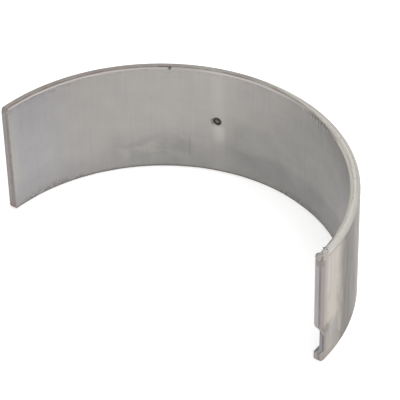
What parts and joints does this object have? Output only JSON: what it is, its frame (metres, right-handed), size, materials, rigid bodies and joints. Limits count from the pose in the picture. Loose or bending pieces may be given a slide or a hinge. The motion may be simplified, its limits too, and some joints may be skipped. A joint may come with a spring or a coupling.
{
  "type": "engine bearing shell",
  "caption": "Thin half-round plain bearing shell with a locating lug, a countersunk oil hole and chamfered edges.",
  "frame": {"origin": "middle of the footprint, on the plane of the lower end face; the bounding box is centred on it in X and Y", "axes": "+Z along the bore axis, towards the upper end face; +Y towards the crown; +X towards the parting face with the locating lug; the two parting faces look along -Y"},
  "size_m": [0.095, 0.0468, 0.0302],
  "materials": {
    "steel": "satin machined steel back, grey overlay on the bore, light stains"
  },
  "bodies": {
    "root": {"bearing_shell": "steel"}
  },
  "joints": []
}
